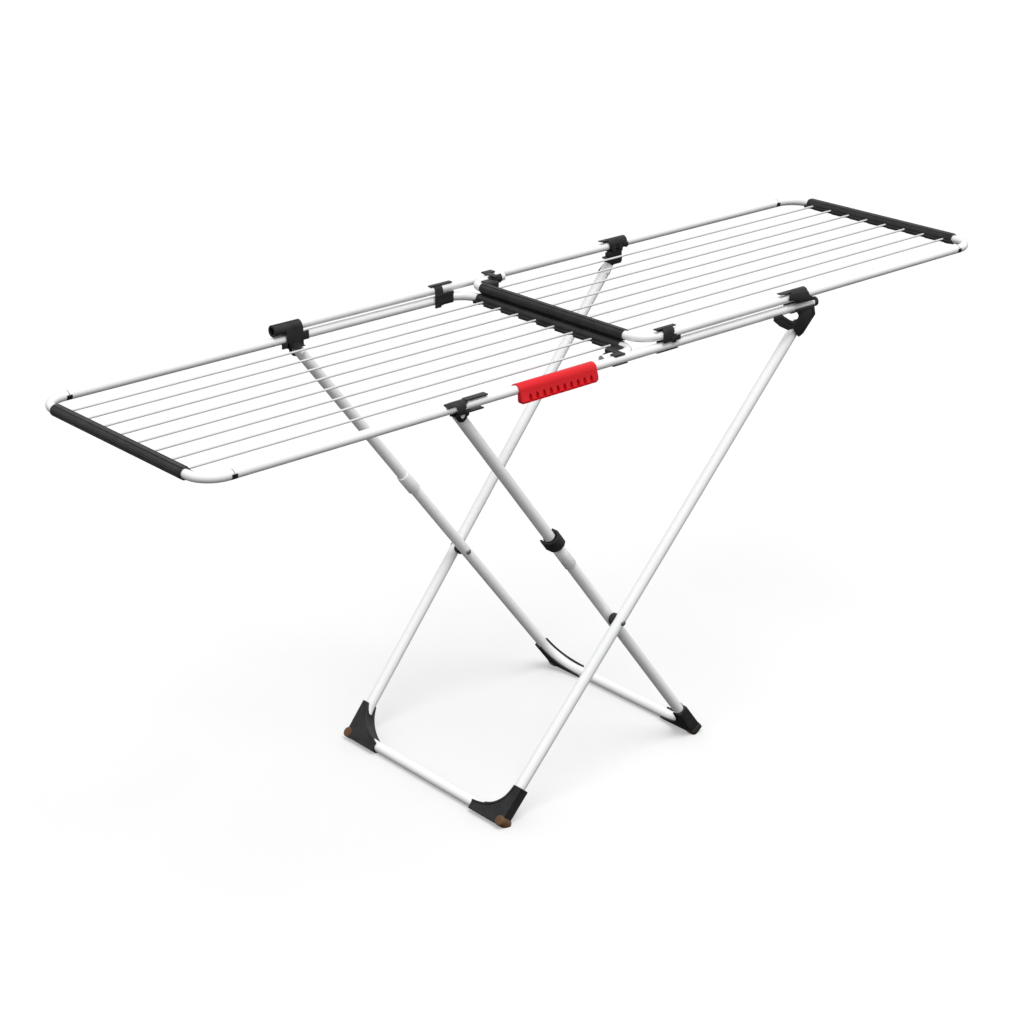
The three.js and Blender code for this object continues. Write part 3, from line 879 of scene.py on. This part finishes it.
def leg_ring(node, leg_node, side, radius, open_side, material, slot, hook=False):
    """A clip or sleeve round an inner leg tube, as long as its CAD node."""
    low, high = ends(leg_node)
    direction = (high - low).normalized()
    box_low, box_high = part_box(node)
    centre = at_height(leg_node, (box_low.z + box_high.z) / 2)
    half = (box_high.z - box_low.z - 2 * radius * math.sqrt(1 - direction.z**2)) / (2 * direction.z)
    shape = Shape()
    if open_side:
        across = Y.cross(direction).normalized()
        section = arc(0, 0, radius, 35, 325, 28) + arc(0, 0, LEG_R + 0.3 * MM, 35, 325, 28)[::-1]
        shape.prism(section, across, direction.cross(across), -half, half, centre, bevel=0.5 * MM)
    else:
        profile = both_ends([(0, LEG_R + 0.2 * MM), (0, radius - 0.4 * MM), (0.6 * MM, radius)], 2 * half)
        shape.lathe(centre - direction * half, direction, profile, 40, True)
    if hook:
        # wide collar, open towards the middle of the rack
        reach = Y * side
        turned = direction.cross(reach)
        if turned.z < 0:
            turned = -turned
        outline = [(p * MM, q * MM) for p, q in COLLAR]
        shape.prism(outline, turned, reach, -half, half, centre, bevel=0.8 * MM)
    plastic(shape, f"{node}_piece", "inner_legs", node, material=material, slot=slot)


leg_ring("inner_leg_clip", "inner_leg_front", -1, 12 * MM, True, CHARCOAL, "plastic_charcoal", True)
leg_ring("inner_leg_sleeve", "inner_leg_front", -1, 11.3 * MM, False, CLEAR, "clear_plastic")
leg_ring("inner_leg_guide", "inner_leg_back", 1, 12.6 * MM, True, CLEAR, "clear_plastic")


# ---- clamps and sliders ----------------------------------------------------------------------------


def pin(shape, start, end, head):
    """A hinge pin from start to end, and on its end a head of the given radius."""
    direction = end - start
    shape.lathe(start, direction, both_ends([(0, 2.7 * MM), (0.3 * MM, 3 * MM)], direction.length), 24)
    dome = [(0, head), (0.9 * MM, head), (1.6 * MM, head * 0.7), (1.8 * MM, head * 0.3)]
    return shape.lathe(end - direction.normalized() * 1.8 * MM, direction, dome, 24)


def hinge_pin(name, body, start, end, head):
    piece(pin(Shape(), start, end, head).object(name), body, SILVER, "rivet")


# outlines in (x, z), in millimetres
FRONT_CHEEK = [
    (302, 826), (322, 827), (328, 822), (345, 811), (353, 807.5), (366, 809), (369, 814), (364, 821),
    (357, 828), (408, 828), (412, 808), (394, 791), (381, 778), (370, 774), (364, 779), (354, 793),
    (340, 793), (318, 805), (302, 818),
]
BACK_CHEEK = [
    (392, 812), (408, 812), (411, 803), (428, 802), (430, 796), (427, 790), (408, 790), (401, 787),
    (391, 778), (379, 774), (369, 777), (366, 785), (374, 791), (382, 798),
]
FRONT_RIBS = [
    [(361, 826.5), (406.5, 826.5), (409.5, 808.5), (405, 806), (402, 822), (361, 823)],
    [(304, 824.5), (321, 825), (346, 808), (354, 804.5), (352, 801), (344, 804), (319, 821), (304, 821)],
]
CAP = [
    (359, 850), (359, 840), (372, 838), (378, 831), (429, 828.5), (426, 834), (413, 841), (409, 849),
    (366, 853),
]
SLEEVE_X = -439 * MM  # left end of the sleeve on frame B's rail
CRADLE_Z = 816.4 * MM  # below the rail's middle, so that the rail has room to sink


def cheek(shape, outline, y0, y1, bevel=0.8):
    """A plate of (x, z) points in millimetres, between y0 and y1."""
    flat = [(x * MM, z * MM) for x, z in outline]
    shape.prism(flat, X, Z, -max(y0, y1) * MM, -min(y0, y1) * MM, bevel=bevel * MM)


def grown(outline, amount):
    """The outline scaled about its middle."""
    cx = sum(p[0] for p in outline) / len(outline)
    cz = sum(p[1] for p in outline) / len(outline)
    return [(cx + (x - cx) * amount, cz + (z - cz) * amount) for x, z in outline]


def clamp_front_right():
    pivot = at_height("outer_leg_front", OUTER_PIVOT * MM)
    y = -RAIL_Y
    shape = Shape()
    cheek(shape, FRONT_CHEEK, -267, -264.2)
    # raised ribs on the outer face of the cheek
    for rib in FRONT_RIBS:
        cheek(shape, rib, -267.8, -266.5, 0.4)
    wall(shape, 388, 411, -266, -246, 806.4, 811)
    along_x(shape, arch(y, A_Z, GRIP_R, 2.4 * MM, -100, 22), 375 * MM, 411 * MM)
    along_x(shape, arch(y, A_Z, GRIP_R, 2.0 * MM, 200, 262), 388 * MM, 411 * MM)
    along_x(shape, arch(y, HOOD_Z, HOOD_R, 1.8 * MM, -4, 184, 22), 366 * MM, 409 * MM)
    wall(shape, 366, 411, -230.6, -228.6, 818, 847)
    cheek(shape, CAP, -250.8, -248.4, 0.8)
    cheek(shape, grown(CAP, 0.72), -251.8, -250.2, 0.5)
    wall(shape, 341, 369, -246, -234, 853.2, 855, 0.8)
    pin(shape, Vector((pivot.x, -266 * MM, pivot.z)), Vector((pivot.x, -239.6 * MM, pivot.z)), 5.4 * MM)
    plastic(shape, "clamp_front_right_piece", "frame_a", "clamp_front_right")


def slider_back_right():
    pivot = at_height("outer_leg_back", OUTER_PIVOT * MM)
    y = RAIL_Y
    shape = Shape()
    cheek(shape, BACK_CHEEK, 264.2, 267.4)
    wall(shape, 376, 407, 240, 266, 808.4, 811.8)
    wall(shape, 366, 404, 238, 241, 808.4, 834, 0.9)
    along_x(shape, arch(y, HOOD_Z, HOOD_R, 1.8 * MM, -10, 184, 22), 362 * MM, 409 * MM)
    along_x(shape, arch(y, B_Z, 8.6 * MM, 1.8 * MM, 176, 300, 16), 363 * MM, 402 * MM)
    wall(shape, 363, 402, 228.5, 230.3, 836, 848)
    wall(shape, 366, 399, 227.2, 229.6, 843.6, 847.5, 0.8)
    wall(shape, 368, 378, 227.2, 229.4, 829, 845, 0.8)
    wall(shape, 386, 396, 227.2, 229.4, 829, 845, 0.8)
    wall(shape, 354, 372, 229, 234, 822, 832, 1.5)
    wall(shape, 344, 366, 233, 244, 853.2, 855, 0.8)
    shape.lathe(
        Vector((406 * MM, 226.4 * MM, 840 * MM)),
        Y,
        [(0, 3.4 * MM), (0.4 * MM, 5 * MM), (1.4 * MM, 6 * MM), (4 * MM, 6.2 * MM), (4.4 * MM, 5.8 * MM)],
        28,
    )
    start = Vector((pivot.x, 264 * MM, pivot.z))
    stop = Vector((pivot.x, 239.6 * MM, pivot.z))
    hinge_pin("slider_back_right_pin", "slider_right", start, stop, 3.8 * MM)
    plastic(shape, "slider_back_right_piece", "slider_right", "slider_back_right")


def inner_lug(shape, side, name, body):
    """The plate that the inner leg's top is pinned to, with its pin."""
    pivot = at_height("inner_leg_front" if side < 0 else "inner_leg_back", INNER_PIVOT * MM)
    x = pivot.x / MM
    lug = [(x - 16, 812), (x + 18, 812), (x + 14, 797)]
    lug += arc(x, INNER_PIVOT, 11.5, -15, -165, 6)
    lug += [(x - 13, 798)]
    cheek(shape, lug, side * 228.3, side * 231.3, 1)
    start = Vector((pivot.x, side * 228 * MM, pivot.z))
    hinge_pin(name, body, start, Vector((pivot.x, side * 205.6 * MM, pivot.z)), 3.8 * MM)
    return pivot


def slider_front_left():
    y = -RAIL_Y
    shape = Shape()
    pivot = inner_lug(shape, -1, "slider_front_left_pin", "slider_left")
    along_x(shape, arch(y, A_Z, SLIDE_R, 2.2 * MM, 80, 150, 14), -440 * MM, -426 * MM)
    along_x(shape, arch(y, A_Z, SLIDE_R, 2.2 * MM, 18, 150, 20), -427 * MM, -398 * MM)
    along_x(shape, arch(y, A_Z, SLIDE_R, 2.2 * MM, 140, 184, 8), -421 * MM, -402 * MM)
    along_x(shape, arch(y, CRADLE_Z, SLIDE_R, 2.0 * MM, 176, 290, 16), -421 * MM, -402 * MM)
    wall(shape, -421, -398, -230.4, -228.4, 804.2, 822, 0.8)
    wall(shape, -418, -404, -250, -247.8, 812.5, 823, 0.8)
    wall(shape, -400, -354, -247, -234, 829.8, 832.6, 1)
    wall(shape, -402, -358, -241, -229.6, 806.4, 808.7, 0.8)
    plastic(shape, "slider_front_left_piece", "slider_left", "slider_front_left")
    profile = [(0, 4.2 * MM), (0.7 * MM, 4.2 * MM), (1.3 * MM, 3.6 * MM)]
    profile += [(1.3 * MM, 2.2 * MM), (0.6 * MM, 1.8 * MM)]
    head = Shape().lathe(Vector((pivot.x, -231.8 * MM, pivot.z)), -Y, profile, 28)
    head = head.object("slider_front_left_rivet")
    piece(head, "slider_left", SILVER, "rivet")


def clamp_back_left():
    shape = Shape()
    pivot = inner_lug(shape, 1, "clamp_back_left_pin", "frame_b")
    profile = [(14 * MM, 7.0 * MM), (0.5 * MM, 7.0 * MM), (0, 7.6 * MM), (0, 10.4 * MM), (0.6 * MM, 11 * MM)]
    profile += [(58.4 * MM, 11 * MM), (59 * MM, 10.4 * MM), (59 * MM, 8.1 * MM), (50 * MM, 8.1 * MM)]
    shape.lathe(Vector((SLEEVE_X, RAIL_Y, B_Z)), X, profile, 40)
    wall(shape, -434, -384, 235.5, 238, 851, 852.6, 0.5)
    wall(shape, -415, -379, 227.6, 230.1, 806, 842, 1.1)
    wall(shape, -411, -383, 227, 229, 810, 838, 0.8)
    wall(shape, -380, -367, 227.9, 230.1, 815, 831, 1)
    wall(shape, -426, -409, 227.6, 230, 807, 818, 1.1)
    wall(shape, -411, -378, 228.4, 251.4, 804, 806.4, 0.8)
    wall(shape, -411, -378, 248.6, 251.4, 804, 842, 0.8)
    # round hood over the end of the leg
    cheek(shape, arch(pivot.x / MM, INNER_PIVOT, 13, 2, 72, 150, 12), 205, 229.5, 0.6)
    plastic(shape, "clamp_back_left_piece", "frame_b", "clamp_back_left")


clamp_front_right()
slider_back_right()
slider_front_left()
clamp_back_left()


def end_cap():
    profile = [(0, 6.4 * MM), (8.2 * MM, 6.6 * MM), (8.2 * MM, 8.1 * MM), (4.4 * MM, 8.1 * MM)]
    profile += [(4.4 * MM, 8.5 * MM), (4.8 * MM, 8.9 * MM), (12.8 * MM, 8.9 * MM), (13.6 * MM, 8.3 * MM)]
    profile += [(14 * MM, 7 * MM)]
    shape = Shape().lathe(Vector((RAIL_END_X - 8 * MM, -RAIL_Y, A_Z)), X, profile, 40)
    plastic(shape, "rail_end_cap_piece", "frame_a", "rail_end_cap")


end_cap()


# ---- handle --------------------------------------------------------------------------------------


def handle():
    low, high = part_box("handle")
    y = -RAIL_Y
    # section in (y, z): a hood over the rail that runs down into a finger grip
    r = 12 * MM
    section = arc(y, A_Z - 1.6 * MM, r, 180, 0, 14)
    bottom = low.z
    section += [(y + r, bottom + 9 * MM), (y + r - 3 * MM, bottom + 3 * MM), (y + r - 8 * MM, bottom)]
    section += [(y - r - 1 * MM, bottom), (y - r - 4 * MM, bottom + 1.5 * MM)]
    section += [(y - r - 5 * MM, bottom + 5 * MM)]
    obj = Shape().prism(section[::-1], Y, Z, low.x, high.x, bevel=0).object("handle_piece")
    # its outline from the front, with rounded corners
    outline = []
    for cx, cz, radius, a0 in (
        (high.x, high.z + 6 * MM, 2 * MM, 0),
        (low.x, high.z + 6 * MM, 2 * MM, 90),
        (low.x, bottom, 7 * MM, 180),
        (high.x, bottom, 11 * MM, 270),
    ):
        sx = -1 if cx == high.x else 1
        sz = -1 if cz > bottom else 1
        outline += arc(cx + sx * radius, cz + sz * radius, radius, a0, a0 + 90, 6)
    carve(obj, Shape().prism(outline, X, Z, 0.2, 0.3, bevel=0), operation="INTERSECT")
    bore_r = 8.35 * MM
    bore = Shape().lathe(Vector((low.x - 0.05, y, A_Z)), X, [(0, bore_r), (0.4, bore_r)], 40)
    behind_low = (low.x - 0.05, y - 5.5 * MM, bottom - 0.02)
    behind = Shape().box(behind_low, (high.x + 0.05, y + 0.05, A_Z - 6 * MM), 0)
    carve(obj, bore, behind)
    # slots in the front face
    grips = Shape()
    slots = 10
    start = low.x + 20 * MM
    step = (high.x - low.x - 36 * MM) / (slots - 1)
    for i in range(slots):
        x = start + step * i
        outline = []
        for k in range(16):
            a = 2 * math.pi * k / 16
            outline.append((x + 3.6 * MM * math.cos(a), bottom + 8.6 * MM + 7.2 * MM * math.sin(a)))
        grips.prism(outline, X, Z, -(y - r) - 0.2 * MM, -(y - r) + 12 * MM, bevel=0)
    carve(obj, grips)
    soften(obj, 0.9 * MM, 3, 32)
    plastic(obj, "handle_piece", "frame_a", "handle", material=RED, slot="handle_red")


handle()


# ---- studio --------------------------------------------------------------------------------------


def studio():
    bpy.ops.mesh.primitive_plane_add(size=200, location=(0, 0, 0))
    floor = bpy.context.object
    floor.name = "floor"
    material, tree, shader = principled("floor_pale")
    drifting_colour(tree, shader, noise(tree, 1.3, 2), (0.50, 0.50, 0.50), (0.53, 0.53, 0.525))
    shader.inputs["Roughness"].default_value = 0.9
    shader.inputs["Specular IOR Level"].default_value = 0.1
    shader.inputs["Emission Color"].default_value = (1, 1, 1, 1)
    shader.inputs["Emission Strength"].default_value = 0.33
    floor.data.materials.append(material)
    # the floor neither lights the rack nor shows in it
    floor.visible_diffuse = False
    floor.visible_glossy = False

    world = bpy.data.worlds.new("studio")
    bpy.context.scene.world = world
    world.use_nodes = True
    tree = world.node_tree
    background = tree.nodes["Background"]
    where = tree.nodes.new("ShaderNodeTexCoord")
    split = tree.nodes.new("ShaderNodeSeparateXYZ")
    tree.links.new(where.outputs["Generated"], split.inputs["Vector"])
    height = remap(tree, split.outputs["Z"], -1, 1, 0, 1)
    sky = [
        (0.0, (0.03, 0.03, 0.032)),
        (0.28, (0.05, 0.05, 0.052)),
        (0.43, (0.36, 0.363, 0.367)),
        (0.53, (0.72, 0.725, 0.73)),
        (1.0, (0.8, 0.8, 0.8)),
    ]
    tree.links.new(ramp(tree, height, sky), background.inputs["Color"])
    background.inputs["Strength"].default_value = 1.0

    light = bpy.data.lights.new("key", "SUN")
    light.energy = 1.9
    light.angle = math.radians(35)
    holder = bpy.data.objects.new("key", light)
    holder.rotation_euler = Vector((0.06, 0.36, -1.0)).to_track_quat("-Z", "Y").to_euler()
    bpy.context.scene.collection.objects.link(holder)


def camera():
    """The photo's camera, solved from its straight tubes."""
    azimuth, elevation, roll = math.radians(-40.61), math.radians(22.49), math.radians(-0.64)
    distance = 4.0892
    level = math.cos(elevation)
    back = Vector((math.sin(azimuth) * level, -math.cos(azimuth) * level, math.sin(elevation)))
    forward = -back
    right = forward.cross(Z).normalized()
    up = right.cross(forward)
    tilted_right = right * math.cos(roll) + up * math.sin(roll)
    tilted_up = up * math.cos(roll) - right * math.sin(roll)
    low, high = CAD_BOX
    middle = (Vector(low) + Vector(high)) / 2
    target = Vector((middle.x - 0.0945, middle.y, middle.z + 0.048))
    place = target + back * distance
    data = bpy.data.cameras.new("camera")
    data.lens = 78.54
    data.sensor_width = 36
    data.clip_end = 200
    holder = bpy.data.objects.new("camera", data)
    turned = Matrix((tilted_right, tilted_up, back)).transposed().to_4x4()
    holder.matrix_world = Matrix.Translation(place) @ turned
    bpy.context.scene.collection.objects.link(holder)
    bpy.context.scene.camera = holder


studio()
camera()
bpy.context.scene.view_settings.view_transform = "Standard"
